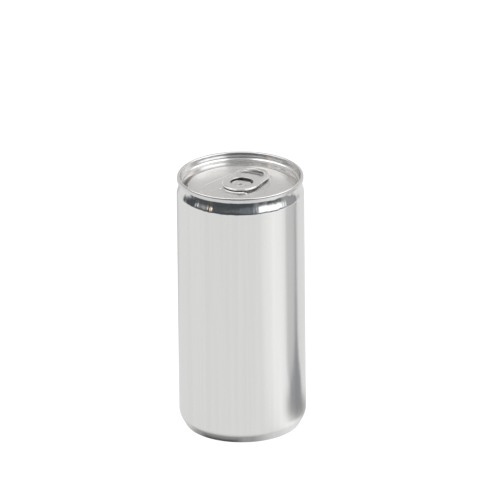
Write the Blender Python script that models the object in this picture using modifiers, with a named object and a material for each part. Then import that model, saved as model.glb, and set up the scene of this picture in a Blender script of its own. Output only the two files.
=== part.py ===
"""Slim 200 ml aluminium beverage can, shut, unprinted.

Three pieces, all standing in one frame: +Z up, origin at the middle of the circle that the can
stands on.  The drawn body with its contents is one solid; the end is the pressed lid with its
double seam, countersink and rivet; the pull tab is held by the rivet.  Lengths are in metres.
"""
import math

import bmesh
import bpy

MM = 0.001

# Driving dimensions of the can
CAN_HEIGHT = 111.0 * MM
BODY_RADIUS = 26.5 * MM
NECK_RADIUS = 25.0 * MM
SEAM_RADIUS = 26.28 * MM
SEAM_HEIGHT = 2.4 * MM
SEAM_CURL = 0.55 * MM        # rounding at the foot of the seam
LIP_WIDTH = 0.25 * MM        # flat top of the body's edge, under the seam
PART_GAP = 0.3 * MM          # clearance between pieces that touch in the real can
TURN_STEPS = 64              # facets round the can

# Neck: an S-curve from the seam out to the full body
NECK_TOP_Z = CAN_HEIGHT - SEAM_HEIGHT - PART_GAP
NECK_BOTTOM_Z = 103.0 * MM
NECK_POINTS = 7

# Foot: shoulder arc, short cone, then the stand ring with its flat land
SHOULDER_RADIUS = 7.8 * MM
SHOULDER_Z = 7.0 * MM
SHOULDER_TURN = math.radians(35.0)
STAND_RADIUS = 22.7 * MM
STAND_NOSE = 1.1 * MM
STAND_LAND = 0.9 * MM        # width of the flat ring that touches the table

# Dome: the pressed-in underside
DOME_LEG_RADIUS = 21.2 * MM
DOME_LEG_TOP = 2.6 * MM
DOME_EDGE_RADIUS = 20.5 * MM
DOME_EDGE_Z = 3.4 * MM
DOME_HEIGHT = 9.6 * MM
DOME_POINTS = 6

# End: depths are below the top of the seam
RIM_INNER_RADIUS = 25.05 * MM
WALL_KINK_RADIUS = 24.45 * MM
WALL_KINK_DEPTH = 2.4 * MM
WALL_LEDGE_RADIUS = 24.15 * MM
WALL_LEDGE_DEPTH = 2.85 * MM
WALL_FOOT_RADIUS = 23.45 * MM
SINK_DEPTH = 6.7 * MM
SINK_RADIUS = 0.6 * MM
PANEL_RADIUS = 21.6 * MM
PANEL_EDGE = 0.45 * MM       # rounding of the panel's edge
PANEL_DEPTH = 5.05 * MM
PANEL_THICKNESS = 0.7 * MM
SHEET = 0.3 * MM

# Panel relief, laid out along the tab's own axis
TAB_TURN = math.radians(-28.0)   # the lift end points back and to the right
RECESS_DEPTH = 0.25 * MM
RECESS_WIDE_RADIUS = 12.8 * MM
RECESS_WIDE_Y = -5.0 * MM
RECESS_NARROW_RADIUS = 9.5 * MM
RECESS_NARROW_Y = 7.5 * MM
RECESS_SLOPE = 0.5 * MM
RELIEF_ROOT = 0.25 * MM      # how far a raised form reaches into the panel
BEAD_RADIUS = 8.1 * MM       # from the middle of the tab's nose
BEAD_HALF_WIDTH = 0.65 * MM
BEAD_RISE = 0.45 * MM
BEAD_SPREAD = math.radians(38.0)
BUMP_SPREAD = math.radians(46.0)
BUMP_RADIUS = 0.75 * MM
BUMP_RISE = 0.45 * MM

# Rivet, formed from the panel itself
RIVET_SHANK = 1.5 * MM
RIVET_HEAD = 2.2 * MM
RIVET_TOP_DEPTH = 4.0 * MM
RIVET_HEAD_THICKNESS = 0.3 * MM
RIVET_EDGE = 0.12 * MM       # rounding of the head
RIVET_DIMPLE = 0.5 * MM
RIVET_DIMPLE_DEPTH = 0.3 * MM
RIVET_DIMPLE_SLOPE = 0.25 * MM
RIVET_STEPS = 24

# Pull tab
TAB_HALF_WIDTH = 7.8 * MM
TAB_NOSE_Y = 0.3 * MM        # centre of the round nose
TAB_HEEL_Y = 9.6 * MM        # centre of the round lift end
TAB_TOP_DEPTH = 3.3 * MM
TAB_THICKNESS = 1.1 * MM
TAB_CURL = 1.2 * MM          # width of the curled edge
TAB_WEB_DROP = 0.25 * MM     # web lies this far under the curl's crest
TAB_WEB = 0.35 * MM
TAB_ARC_POINTS = 14
ISLAND_RADIUS = 3.8 * MM
ISLAND_Y = 0.6 * MM
ISLAND_TOP_DEPTH = 4.58 * MM
ISLAND_THICKNESS = 0.3 * MM
ISLAND_FRONT = math.radians(40.0)   # the disc is cut straight across in front
OPENING_RADIUS = 4.9 * MM
OPENING_Y = 1.3 * MM
OPENING_FRONT_Y = -2.4 * MM
TONGUE_HALF_WIDTH = 2.6 * MM
TONGUE_JOIN = 0.5 * MM       # how far the tongue runs into the island
TONGUE_INSET = 0.02 * MM     # keeps the tongue's faces off the faces that it joins
HOLE_HALF_WIDTH = 4.9 * MM
HOLE_CENTRE_Y = 10.4 * MM
HOLE_FRONT_Y = 10.4 * MM
HOLE_NOTCH = ((4.7, 9.6), (4.2, 9.2), (3.3, 9.4), (2.7, 10.4))   # millimetres, right side
REACH = 1.0 * MM             # how far a cutter runs past what it cuts

ALUMINIUM = (0.77, 0.77, 0.76, 1.0)


def clear_scene():
    """Remove whatever the file holds, so that only the can is left."""
    for thing in list(bpy.data.objects):
        bpy.data.objects.remove(thing, do_unlink=True)
    for group in list(bpy.data.collections):
        bpy.data.collections.remove(group)


def make_collection(name):
    group = bpy.data.collections.new(name)
    bpy.context.scene.collection.children.link(group)
    return group


def make_metal(name, colour, roughness):
    """Bare aluminium with a given polish."""
    material = bpy.data.materials.new(name)
    material.use_nodes = True
    shader = material.node_tree.nodes["Principled BSDF"]
    shader.inputs["Base Color"].default_value = colour
    shader.inputs["Metallic"].default_value = 1.0
    shader.inputs["Roughness"].default_value = roughness
    return material


def add_object(name, mesh, group, material=None):
    thing = bpy.data.objects.new(name, mesh)
    group.objects.link(thing)
    if material is not None:
        mesh.materials.append(material)
    return thing


def as_cutter(thing):
    """Guides and cutters stay in the file as wires."""
    thing.hide_render = True
    thing.display_type = 'WIRE'
    return thing


def arc(across, along, radius, start, end, count):
    """Points along an arc round (across, along), with angles from the first axis to the second."""
    points = []
    for step in range(count + 1):
        angle = start + (end - start) * step / count
        points.append((across + radius * math.cos(angle), along + radius * math.sin(angle)))
    return points


def turned(name, profile, group, steps, material=None):
    """A solid of revolution from a profile of (radius, height) that starts and ends on the axis."""
    mesh = bpy.data.meshes.new(name)
    verts = [(radius, 0.0, height) for radius, height in profile]
    edges = [(index, index + 1) for index in range(len(verts) - 1)]
    mesh.from_pydata(verts, edges, [])
    thing = add_object(name, mesh, group, material)
    screw = thing.modifiers.new("Turn", 'SCREW')
    screw.axis = 'Z'
    screw.angle = 2 * math.pi
    screw.steps = steps
    screw.render_steps = steps
    screw.use_merge_vertices = True
    screw.merge_threshold = 0.00001
    screw.use_smooth_shade = True
    return thing


def loft(name, sections, group, material=None):
    """A closed skin through sections of as many points each, capped at both ends."""
    shape = bmesh.new()
    rings = [[shape.verts.new(point) for point in section] for section in sections]
    count = len(rings[0])
    for lower, upper in zip(rings, rings[1:]):
        for index in range(count):
            following = (index + 1) % count
            shape.faces.new((lower[index], lower[following], upper[following], upper[index]))
    shape.faces.new(list(reversed(rings[0])))
    shape.faces.new(rings[-1])
    bmesh.ops.recalc_face_normals(shape, faces=shape.faces)
    mesh = bpy.data.meshes.new(name)
    shape.to_mesh(mesh)
    shape.free()
    return add_object(name, mesh, group, material)


def prism(name, outlines, group, material=None):
    """A loft through level outlines [(z, [(x, y), ...]), ...], listed from the bottom up."""
    sections = [[(x, y, height) for x, y in outline] for height, outline in outlines]
    return loft(name, sections, group, material)


def boolean(target, tool, operation):
    change = target.modifiers.new(tool.name, 'BOOLEAN')
    change.operation = operation
    change.solver = 'EXACT'
    change.object = tool


def neck_profile():
    """From the seam down and out to the body, along a smooth S."""
    points = []
    for step in range(NECK_POINTS + 1):
        share = step / NECK_POINTS
        ease = share * share * (3 - 2 * share)
        radius = NECK_RADIUS + (BODY_RADIUS - NECK_RADIUS) * ease
        points.append((radius, NECK_TOP_Z + (NECK_BOTTOM_Z - NECK_TOP_Z) * share))
    return points


def foot_profile():
    """Shoulder, cone, stand ring, leg and dome, ending on the axis."""
    points = arc(BODY_RADIUS - SHOULDER_RADIUS, SHOULDER_Z, SHOULDER_RADIUS, 0.0, -SHOULDER_TURN, 4)
    outer_nose = STAND_RADIUS + STAND_LAND / 2
    inner_nose = STAND_RADIUS - STAND_LAND / 2
    points += arc(outer_nose, STAND_NOSE, STAND_NOSE, -SHOULDER_TURN, -math.pi / 2, 3)
    points += arc(inner_nose, STAND_NOSE, STAND_NOSE, -math.pi / 2, -math.pi, 3)
    points.append((DOME_LEG_RADIUS, DOME_LEG_TOP))
    # The dome is part of a sphere through its edge and its crown
    rise = DOME_HEIGHT - DOME_EDGE_Z
    sphere = (DOME_EDGE_RADIUS ** 2 + rise ** 2) / (2 * rise)
    for step in range(DOME_POINTS):
        radius = DOME_EDGE_RADIUS * (1 - step / DOME_POINTS)
        points.append((radius, DOME_HEIGHT - sphere + math.sqrt(sphere ** 2 - radius ** 2)))
    points.append((0.0, DOME_HEIGHT))
    return points


def body_profile():
    """Seat under the end, neck, wall and foot."""
    seat_z = CAN_HEIGHT - PANEL_DEPTH - PANEL_THICKNESS - PART_GAP
    sink_z = CAN_HEIGHT - SINK_DEPTH - SHEET - PART_GAP
    offset = SHEET + PART_GAP
    points = [(0.0, seat_z),
              (PANEL_RADIUS - offset, seat_z),
              (PANEL_RADIUS - 0.5 * offset, sink_z),
              (WALL_FOOT_RADIUS + 0.3 * offset, sink_z),
              (WALL_FOOT_RADIUS + offset, sink_z + 2 * offset),
              (NECK_RADIUS - LIP_WIDTH, NECK_TOP_Z)]
    return points + neck_profile() + foot_profile()


def end_profile():
    """Panel, countersink, chuck wall, seam, and back along the underside."""
    top = CAN_HEIGHT
    panel_z = top - PANEL_DEPTH
    sink_z = top - SINK_DEPTH
    crown = (SEAM_RADIUS - RIM_INNER_RADIUS) / 2
    sink_centre_r = WALL_FOOT_RADIUS - SINK_RADIUS
    points = [(0.0, panel_z)]
    points += arc(PANEL_RADIUS, panel_z - PANEL_EDGE, PANEL_EDGE, math.pi / 2, 0.0, 3)
    points += arc(sink_centre_r, sink_z + SINK_RADIUS, SINK_RADIUS, -math.pi, 0.0, 5)
    points.append((WALL_LEDGE_RADIUS, top - WALL_LEDGE_DEPTH))
    points.append((WALL_KINK_RADIUS, top - WALL_KINK_DEPTH))
    points += arc(RIM_INNER_RADIUS + crown, top - crown, crown, math.pi, 0.0, 6)
    points += arc(SEAM_RADIUS - SEAM_CURL, top - SEAM_HEIGHT + SEAM_CURL, SEAM_CURL, 0.0, -math.pi / 2, 3)
    points.append((WALL_KINK_RADIUS + SHEET, top - SEAM_HEIGHT))
    points.append((WALL_LEDGE_RADIUS + SHEET, top - WALL_LEDGE_DEPTH))
    points.append((WALL_FOOT_RADIUS + SHEET, sink_z + SINK_RADIUS))
    points.append((sink_centre_r + 0.7 * SINK_RADIUS, sink_z - SHEET))
    points.append((sink_centre_r - 0.7 * SINK_RADIUS, sink_z - SHEET))
    points.append((PANEL_RADIUS - SHEET, panel_z - PANEL_THICKNESS))
    points.append((0.0, panel_z - PANEL_THICKNESS))
    return points


def teardrop(shrink):
    """Outline of the panel's recess: two circles and the lines that touch both, pointing along +Y."""
    wide = RECESS_WIDE_RADIUS - shrink
    narrow = RECESS_NARROW_RADIUS - shrink
    lean = math.asin((wide - narrow) / (RECESS_NARROW_Y - RECESS_WIDE_Y))
    points = arc(0.0, RECESS_NARROW_Y, narrow, lean, math.pi - lean, 12)
    points += arc(0.0, RECESS_WIDE_Y, wide, math.pi - lean, 2 * math.pi + lean, 20)
    return points


def stadium(shrink):
    """Outline of the tab: round nose, straight sides, round lift end."""
    radius = TAB_HALF_WIDTH - shrink
    points = arc(0.0, TAB_HEEL_Y, radius, 0.0, math.pi, TAB_ARC_POINTS)
    points += arc(0.0, TAB_NOSE_Y, radius, math.pi, 2 * math.pi, TAB_ARC_POINTS)
    return points


def finger_hole():
    """Outline of the finger hole: round behind, straight in front, with a notch at each side."""
    points = arc(0.0, HOLE_CENTRE_Y, HOLE_HALF_WIDTH, 0.0, math.pi, 14)
    notch = [(x * MM, y * MM) for x, y in HOLE_NOTCH]
    points += [(-x, y) for x, y in notch]
    points += list(reversed(notch))
    return points


def turned_to_tab(piece):
    """Lay a cutter or piece out along the tab's own axis."""
    piece.rotation_euler.z = TAB_TURN
    return piece


def make_rivet(cutters):
    """The rivet that holds the tab, drawn up from the panel."""
    top = CAN_HEIGHT - RIVET_TOP_DEPTH
    under = top - RIVET_HEAD_THICKNESS
    root = CAN_HEIGHT - PANEL_DEPTH - 0.5 * PANEL_THICKNESS
    profile = [(0.0, top - RIVET_DIMPLE_DEPTH),
               (RIVET_DIMPLE, top - RIVET_DIMPLE_DEPTH),
               (RIVET_DIMPLE + RIVET_DIMPLE_SLOPE, top),
               (RIVET_HEAD - RIVET_EDGE, top),
               (RIVET_HEAD, top - RIVET_EDGE),
               (RIVET_HEAD, under),
               (RIVET_SHANK, under),
               (RIVET_SHANK, root),
               (0.0, root)]
    return as_cutter(turned("rivet", profile, cutters, RIVET_STEPS))


def make_recess(cutters):
    """Tool for the sunk teardrop of the panel, with sloping sides."""
    panel = CAN_HEIGHT - PANEL_DEPTH
    levels = [(panel - RECESS_DEPTH, teardrop(RECESS_SLOPE)),
              (panel, teardrop(0.0)),
              (panel + REACH, teardrop(-RECESS_SLOPE))]
    return turned_to_tab(as_cutter(prism("recess", levels, cutters)))


def bead_band(half_width):
    """Outline of the band round the tab's nose: an outer arc and an inner arc."""
    start = -math.pi / 2 - BEAD_SPREAD
    end = -math.pi / 2 + BEAD_SPREAD
    points = arc(0.0, TAB_NOSE_Y, BEAD_RADIUS + half_width, start, end, 14)
    points += arc(0.0, TAB_NOSE_Y, BEAD_RADIUS - half_width, end, start, 14)
    return points


def make_nose_bead(cutters):
    """The raised bead in the panel in front of the tab's nose."""
    floor = CAN_HEIGHT - PANEL_DEPTH - RECESS_DEPTH
    levels = [(floor - RELIEF_ROOT, bead_band(BEAD_HALF_WIDTH)),
              (floor, bead_band(BEAD_HALF_WIDTH)),
              (floor + 0.7 * BEAD_RISE, bead_band(0.7 * BEAD_HALF_WIDTH)),
              (floor + BEAD_RISE, bead_band(0.3 * BEAD_HALF_WIDTH))]
    return turned_to_tab(as_cutter(prism("nose_bead", levels, cutters)))


def make_stop_bump(name, side, cutters):
    """One of the two raised dots that stop the tab from swinging."""
    floor = CAN_HEIGHT - PANEL_DEPTH - RECESS_DEPTH
    x = side * BEAD_RADIUS * math.sin(BUMP_SPREAD)
    y = TAB_NOSE_Y - BEAD_RADIUS * math.cos(BUMP_SPREAD)
    last = 2 * math.pi * 11 / 12
    shape = [(-RELIEF_ROOT, 1.0), (0.0, 1.0), (0.7 * BUMP_RISE, 0.7), (BUMP_RISE, 0.3)]
    levels = [(floor + rise, arc(x, y, share * BUMP_RADIUS, 0.0, last, 11)) for rise, share in shape]
    return turned_to_tab(as_cutter(prism(name, levels, cutters)))


def make_body(group, material):
    return turned("can_body", body_profile(), group, TURN_STEPS, material)


def make_end(group, cutters, material):
    """The lid: turned sheet, sunk teardrop, rivet, nose bead and stop bumps."""
    end = turned("can_end", end_profile(), group, TURN_STEPS, material)
    boolean(end, make_recess(cutters), 'DIFFERENCE')
    boolean(end, make_rivet(cutters), 'UNION')
    boolean(end, make_nose_bead(cutters), 'UNION')
    boolean(end, make_stop_bump("stop_bump_left", -1, cutters), 'UNION')
    boolean(end, make_stop_bump("stop_bump_right", 1, cutters), 'UNION')
    return end


def tab_blank(top, bottom, group, material):
    """The solid tab with its rounded edge, before anything is cut out."""
    half = (top - bottom) / 2
    edge = [(bottom, 0.6), (bottom + 0.25 * half, 0.2), (bottom + 0.8 * half, 0.0),
            (top - 0.8 * half, 0.0), (top - 0.25 * half, 0.2), (top, 0.6)]
    return prism("pull_tab", [(z, stadium(share * half)) for z, share in edge], group, material)


def tab_cutters(top, bottom, web_top, web_bottom, cutters):
    """Dish over the web, finger hole, hollow underside and the opening round the island."""
    above = top + REACH
    below = bottom - REACH
    reach = TAB_HALF_WIDTH - TAB_CURL
    rim = stadium(TAB_CURL)
    hollow = arc(0.0, TAB_HEEL_Y, reach, 0.0, math.pi, TAB_ARC_POINTS)
    hollow += [(-reach, OPENING_FRONT_Y), (reach, OPENING_FRONT_Y)]
    front = math.asin((OPENING_FRONT_Y - OPENING_Y) / OPENING_RADIUS)
    opening = arc(0.0, OPENING_Y, OPENING_RADIUS, front, math.pi - front, 22)
    return [prism("tab_dish", [(web_top, rim), (above, rim)], cutters),
            prism("finger_hole", [(below, finger_hole()), (above, finger_hole())], cutters),
            prism("tab_hollow", [(below, hollow), (web_bottom, hollow)], cutters),
            prism("island_opening", [(below, opening), (above, opening)], cutters)]


def tab_island(bottom, cutters):
    """The low disc that the rivet holds, and the sloping tongue that joins it to the nose."""
    top = CAN_HEIGHT - ISLAND_TOP_DEPTH
    low = top - ISLAND_THICKNESS
    disc = arc(0.0, ISLAND_Y, ISLAND_RADIUS, -ISLAND_FRONT, math.pi + ISLAND_FRONT, 20)
    front_y = disc[0][1]
    flat = (low + TONGUE_INSET, top - TONGUE_INSET)
    raised = (bottom + TONGUE_INSET, bottom + ISLAND_THICKNESS)
    sections = []
    for y, (under, over) in ((front_y + TONGUE_JOIN, flat), (front_y, flat),
                             (OPENING_FRONT_Y, raised), (OPENING_FRONT_Y - REACH, raised)):
        sections.append([(-TONGUE_HALF_WIDTH, y, under), (TONGUE_HALF_WIDTH, y, under),
                         (TONGUE_HALF_WIDTH, y, over), (-TONGUE_HALF_WIDTH, y, over)])
    return [prism("island", [(low, disc), (top, disc)], cutters),
            loft("tongue", sections, cutters)]


def make_tab(group, cutters, material):
    """The pull tab: curled edge, thin web, finger hole, and the island that the rivet holds."""
    top = CAN_HEIGHT - TAB_TOP_DEPTH
    bottom = top - TAB_THICKNESS
    web_top = top - TAB_WEB_DROP
    tab = turned_to_tab(tab_blank(top, bottom, group, material))
    for tool in tab_cutters(top, bottom, web_top, web_top - TAB_WEB, cutters):
        boolean(tab, turned_to_tab(as_cutter(tool)), 'DIFFERENCE')
    for tool in tab_island(bottom, cutters):
        boolean(tab, turned_to_tab(as_cutter(tool)), 'UNION')
    eye = arc(0.0, 0.0, RIVET_SHANK + PART_GAP, 0.0, 2 * math.pi * 19 / 20, 19)
    levels = [(bottom - REACH, eye), (top + REACH, eye)]
    boolean(tab, turned_to_tab(as_cutter(prism("rivet_eye", levels, cutters))), 'DIFFERENCE')
    return tab


clear_scene()
can = make_collection("slim_beverage_can")
tools = make_collection("cutters")
make_body(can, make_metal("satin_body_aluminium", ALUMINIUM, 0.32))
make_end(can, tools, make_metal("lid_aluminium", ALUMINIUM, 0.28))
make_tab(can, tools, make_metal("tab_aluminium", ALUMINIUM, 0.25))
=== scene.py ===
"""A slim 200 ml aluminium drink can, shut and unprinted, standing in a plain studio.

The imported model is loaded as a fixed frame, and each piece below takes the place of one of its
nodes: the drawn body, the pressed end and the pull tab.  Lengths are written in millimetres and
turned into metres where a mesh is made.  +Z is up, and the can stands on its stand ring at z = 0.
"""
import math

import bpy
from mathutils import Matrix, Vector, noise


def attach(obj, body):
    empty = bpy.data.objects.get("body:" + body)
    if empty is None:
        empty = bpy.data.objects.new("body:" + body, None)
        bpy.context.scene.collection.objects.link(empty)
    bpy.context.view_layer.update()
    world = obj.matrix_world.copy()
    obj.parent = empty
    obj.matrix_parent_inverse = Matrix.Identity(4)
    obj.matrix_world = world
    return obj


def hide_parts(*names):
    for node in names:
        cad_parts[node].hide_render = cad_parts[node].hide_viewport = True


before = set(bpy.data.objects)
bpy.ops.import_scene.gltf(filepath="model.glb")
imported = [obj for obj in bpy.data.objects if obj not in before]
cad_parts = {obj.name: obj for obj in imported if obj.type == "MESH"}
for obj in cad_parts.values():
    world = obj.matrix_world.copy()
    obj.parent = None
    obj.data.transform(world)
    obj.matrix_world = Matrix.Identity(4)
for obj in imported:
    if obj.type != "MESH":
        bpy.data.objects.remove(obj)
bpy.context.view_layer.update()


# ---------------------------------------------------------------------------------------------
# The drawn body.  One cup of soft aluminium, drawn from a disc and ironed to a thin wall, then
# necked in at the top and pressed up into a dome below.  The irons leave fine upright marks on
# the wall; the necking dies polish the neck almost to a mirror.
# ---------------------------------------------------------------------------------------------
MM = 0.001
CAN_HEIGHT = 111.0
BODY_RADIUS = 26.5
NECK_RADIUS = 25.0
NECK_TOP = 108.6             # height of the neck's top, under the seam
NECK_FOOT = 102.9            # where the neck has opened out to the full body
NECK_BENDS = (0.13, 0.24)    # shares of the neck that its upper and lower bend take
NECK_UNEVEN = 0.20           # how far the dies leave the cone's edges out of level
BRIM_RADIUS = 24.75          # inside of the body's edge, under the seam
BRIM_RISE = 0.5
SEAT = ((0.0, 104.9), (20.9, 104.9), (21.2, 103.7), (23.7, 103.7), (24.1, 105.0))
SHOULDER_RADIUS = 7.8        # bend from the wall in to the foot
SHOULDER_HEIGHT = 7.0
SHOULDER_TURN = math.radians(35.0)
CREASE_STEP = (0.02, 0.045)  # the sharp crease between shoulder and stand ring
STAND_RADIUS = 22.7
STAND_NOSE = 1.1             # rounding of the stand ring
STAND_LAND = 0.9             # width of the flat that touches the table
STAND_START = math.radians(-28.0)
LEG_RADIUS = 21.2            # inner side of the stand ring
LEG_TOP = 2.6
DOME_RADIUS = 20.5
DOME_EDGE = 3.4              # heights of the dome's edge and of its middle
DOME_TOP = 9.6
DOME_STEPS = 29
SAME_POINT = 0.002           # corners this close are one
WALL_COLOUR = (0.900, 0.896, 0.890)
WALL_TINTS = (-0.032, 0.030)
WALL_GLOSS = (0.20, 0.26)    # roughness of the satin wall
NECK_GLOSS = (0.09, 0.15)    # roughness of the polished neck
POLISHED = (102.6, 103.6)    # heights between which the polish sets in
POLISH_RAGGED = 0.8
MARK_DEPTH = 0.006


def ease(share):
    """Smooth step from 0 to 1."""
    share = min(1.0, max(0.0, share))
    return share * share * (3.0 - 2.0 * share)


def arc(across, along, radius, start, end, count):
    """Points on an arc round (across, along), angles in radians."""
    points = []
    for step in range(count + 1):
        angle = start + (end - start) * step / count
        points.append((across + radius * math.cos(angle), along + radius * math.sin(angle)))
    return points


def straight(points, end, count):
    """Carry a line of points on to one more place in even steps."""
    start = points[-1]
    for step in range(1, count + 1):
        share = step / count
        points.append((start[0] + (end[0] - start[0]) * share,
                       start[1] + (end[1] - start[1]) * share))
    return points


def neck_line(count=44):
    """The neck from the seam down: a quick turn outwards, a steady cone, a soft shoulder."""
    upper, lower = NECK_BENDS
    lean = []
    for step in range(count + 1):
        share = step / count
        # The cone leans outwards most below its middle, and already a little at the seam
        domed = 0.70 + 0.30 * math.sin(math.pi * min(1.0, share / 0.92) ** 1.6)
        lean.append(ease(share / upper + 0.30) * ease((1.0 - share) / lower) * domed)
    whole = sum((a + b) / 2 for a, b in zip(lean, lean[1:]))
    points = [(NECK_RADIUS, NECK_TOP)]
    for step in range(count):
        opened = (lean[step] + lean[step + 1]) / 2 / whole
        radius = points[-1][0] + (BODY_RADIUS - NECK_RADIUS) * opened
        points.append((radius, NECK_TOP + (NECK_FOOT - NECK_TOP) * (step + 1) / count))
    return points


def body_line():
    """Half outline of the body, from the hidden seat under the end round to the dome's crown."""
    brim = NECK_TOP + BRIM_RISE
    points = [*SEAT, (BRIM_RADIUS, NECK_TOP), (BRIM_RADIUS, brim), (NECK_RADIUS, brim)]
    points += neck_line()
    straight(points, (BODY_RADIUS, SHOULDER_HEIGHT), 24)
    points += arc(BODY_RADIUS - SHOULDER_RADIUS, SHOULDER_HEIGHT, SHOULDER_RADIUS,
                  0.0, -SHOULDER_TURN, 16)[1:]
    crease = points[-1]
    points.append((crease[0] - CREASE_STEP[0], crease[1] - CREASE_STEP[1]))
    outer = arc(STAND_RADIUS + STAND_LAND / 2, STAND_NOSE, STAND_NOSE, STAND_START, -math.pi / 2, 10)
    straight(points, outer[0], 5)
    points += outer[1:]
    points += arc(STAND_RADIUS - STAND_LAND / 2, STAND_NOSE, STAND_NOSE, -math.pi / 2, -math.pi, 10)
    # The leg runs up into the dome through a tight bend
    straight(points, (LEG_RADIUS, LEG_TOP - 0.5), 3)
    points += [(LEG_RADIUS - 0.05, LEG_TOP), (LEG_RADIUS - 0.2, LEG_TOP + 0.35),
               (LEG_RADIUS - 0.45, LEG_TOP + 0.6)]
    rise = DOME_TOP - DOME_EDGE
    sphere = (DOME_RADIUS ** 2 + rise ** 2) / (2 * rise)
    for step in range(DOME_STEPS):
        radius = DOME_RADIUS * (1.0 - step / DOME_STEPS)
        points.append((radius, DOME_TOP - sphere + math.sqrt(sphere ** 2 - radius ** 2)))
    points.append((0.0, DOME_TOP))
    return points


def combined(tree, operation, first, second):
    """One maths node; each operand is a socket or a number."""
    node = tree.nodes.new('ShaderNodeMath')
    node.operation = operation
    for slot, value in zip(node.inputs, (first, second)):
        if isinstance(value, (int, float)):
            slot.default_value = value
        else:
            tree.links.new(value, slot)
    return node.outputs[0]


def times(tree, first, second):
    """The product of two values."""
    return combined(tree, 'MULTIPLY', first, second)


def hand_out(tree, given, skin, name):
    """End of a node tree: the skin goes out smooth, in its metal."""
    for kind in ('GeometryNodeSetShadeSmooth', 'GeometryNodeRealizeInstances', 'GeometryNodeSetMaterial'):
        step = tree.nodes.new(kind)
        tree.links.new(skin, step.inputs["Geometry"])
        skin = step.outputs[0]
    tree.links.new(given.outputs["Metal"], step.inputs["Material"])
    tree.links.new(skin, tree.nodes.new('NodeGroupOutput').inputs[name])


def turning_tree():
    """Geometry nodes that turn a half outline about the can's axis into one closed skin."""
    tree = bpy.data.node_groups.new("turn_half_outline", 'GeometryNodeTree')
    ports = tree.interface
    ports.new_socket("Half outline", in_out='INPUT', socket_type='NodeSocketGeometry')
    facets = ports.new_socket("Facets round the can", in_out='INPUT', socket_type='NodeSocketInt')
    metal = ports.new_socket("Metal", in_out='INPUT', socket_type='NodeSocketMaterial')
    ports.new_socket("Turned skin", in_out='OUTPUT', socket_type='NodeSocketGeometry')
    add, join = tree.nodes.new, tree.links.new

    given = add('NodeGroupInput')
    size = add('GeometryNodeAttributeDomainSize')
    join(given.outputs["Half outline"], size.inputs["Geometry"])
    points = size.outputs["Point Count"]
    grid = add('GeometryNodeMeshGrid')
    join(points, grid.inputs["Vertices X"])
    join(combined(tree, 'ADD', given.outputs["Facets round the can"], 1), grid.inputs["Vertices Y"])
    place = add('ShaderNodeSeparateXYZ')
    join(add('GeometryNodeInputPosition').outputs[0], place.inputs[0])
    # The flat grid's two sides become the step along the outline and the angle round the axis
    along = combined(tree, 'ADD', place.outputs["X"], 0.5)
    step = times(tree, along, combined(tree, 'SUBTRACT', points, 1))
    step = combined(tree, 'ROUND', step, 0.0)
    angle = times(tree, combined(tree, 'ADD', place.outputs["Y"], 0.5), 2 * math.pi)
    look_up = add('GeometryNodeSampleIndex')
    look_up.data_type = 'FLOAT_VECTOR'
    look_up.clamp = True
    join(given.outputs["Half outline"], look_up.inputs["Geometry"])
    join(add('GeometryNodeInputPosition').outputs[0], look_up.inputs["Value"])
    join(step, look_up.inputs["Index"])
    outline = add('ShaderNodeSeparateXYZ')
    join(look_up.outputs[0], outline.inputs[0])
    spot = add('ShaderNodeCombineXYZ')
    for axis, turn in (("X", 'COSINE'), ("Y", 'SINE')):
        reach = times(tree, outline.outputs["X"], combined(tree, turn, angle, 0.0))
        join(reach, spot.inputs[axis])
    join(outline.outputs["Z"], spot.inputs["Z"])
    move = add('GeometryNodeSetPosition')
    join(grid.outputs["Mesh"], move.inputs["Geometry"])
    join(spot.outputs[0], move.inputs["Position"])
    merge = add('GeometryNodeMergeByDistance')
    merge.inputs["Distance"].default_value = SAME_POINT * MM
    join(move.outputs[0], merge.inputs["Geometry"])
    hand_out(tree, given, merge.outputs[0], "Turned skin")
    return tree, facets.identifier, metal.identifier


def placed(name, data):
    """Put a mesh, curve or camera into the scene."""
    piece = bpy.data.objects.new(name, data)
    bpy.context.scene.collection.objects.link(piece)
    return piece


def frozen(maker, name, metal):
    """The finished mesh of an object with live modifiers, as a plain object in its place."""
    graph = bpy.context.evaluated_depsgraph_get()
    mesh = bpy.data.meshes.new_from_object(maker.evaluated_get(graph))
    bpy.data.objects.remove(maker, do_unlink=True)
    mesh.name = name
    mesh.materials.clear()
    mesh.materials.append(metal)
    mesh.polygons.foreach_set("material_index", [0] * len(mesh.polygons))
    return placed(name, mesh)


def turned(name, outline, facets, metal):
    """A round piece from its half outline of (radius, height), by the turning tree."""
    mesh = bpy.data.meshes.new(name + "_outline")
    line = [(radius * MM, 0.0, height * MM) for radius, height in outline]
    mesh.from_pydata(line, [(index, index + 1) for index in range(len(line) - 1)], [])
    maker = placed(name + "_maker", mesh)
    tree, facets_id, metal_id = turning_tree()
    turn = maker.modifiers.new("Turn", 'NODES')
    turn.node_group = tree
    turn[facets_id] = facets
    turn[metal_id] = metal
    return frozen(maker, name, metal)


def face_outward(piece):
    """Turn every face of a closed skin outwards."""
    mesh = piece.data
    volume = 0.0
    mesh.calc_loop_triangles()
    for triangle in mesh.loop_triangles:
        a, b, c = (mesh.vertices[index].co for index in triangle.vertices)
        volume += a.dot(b.cross(c))
    if volume < 0.0:
        mesh.flip_normals()


def plain_material(name, colour):
    """A new material in one colour, with its nodes and its shader."""
    material = bpy.data.materials.new(name)
    material.use_nodes = True
    shader = material.node_tree.nodes["Principled BSDF"]
    shader.inputs["Base Color"].default_value = (*colour, 1.0)
    return material, material.node_tree, shader


def metal_base(name, colour, anisotropy):
    """A bare-metal shader, and the place on the piece that its patterns read."""
    material, tree, shader = plain_material(name, colour)
    shader.inputs["Metallic"].default_value = 1.0
    shader.inputs["Anisotropic"].default_value = anisotropy
    place = tree.nodes.new('ShaderNodeTexCoord')
    return material, tree, shader, place.outputs["Object"]


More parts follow.
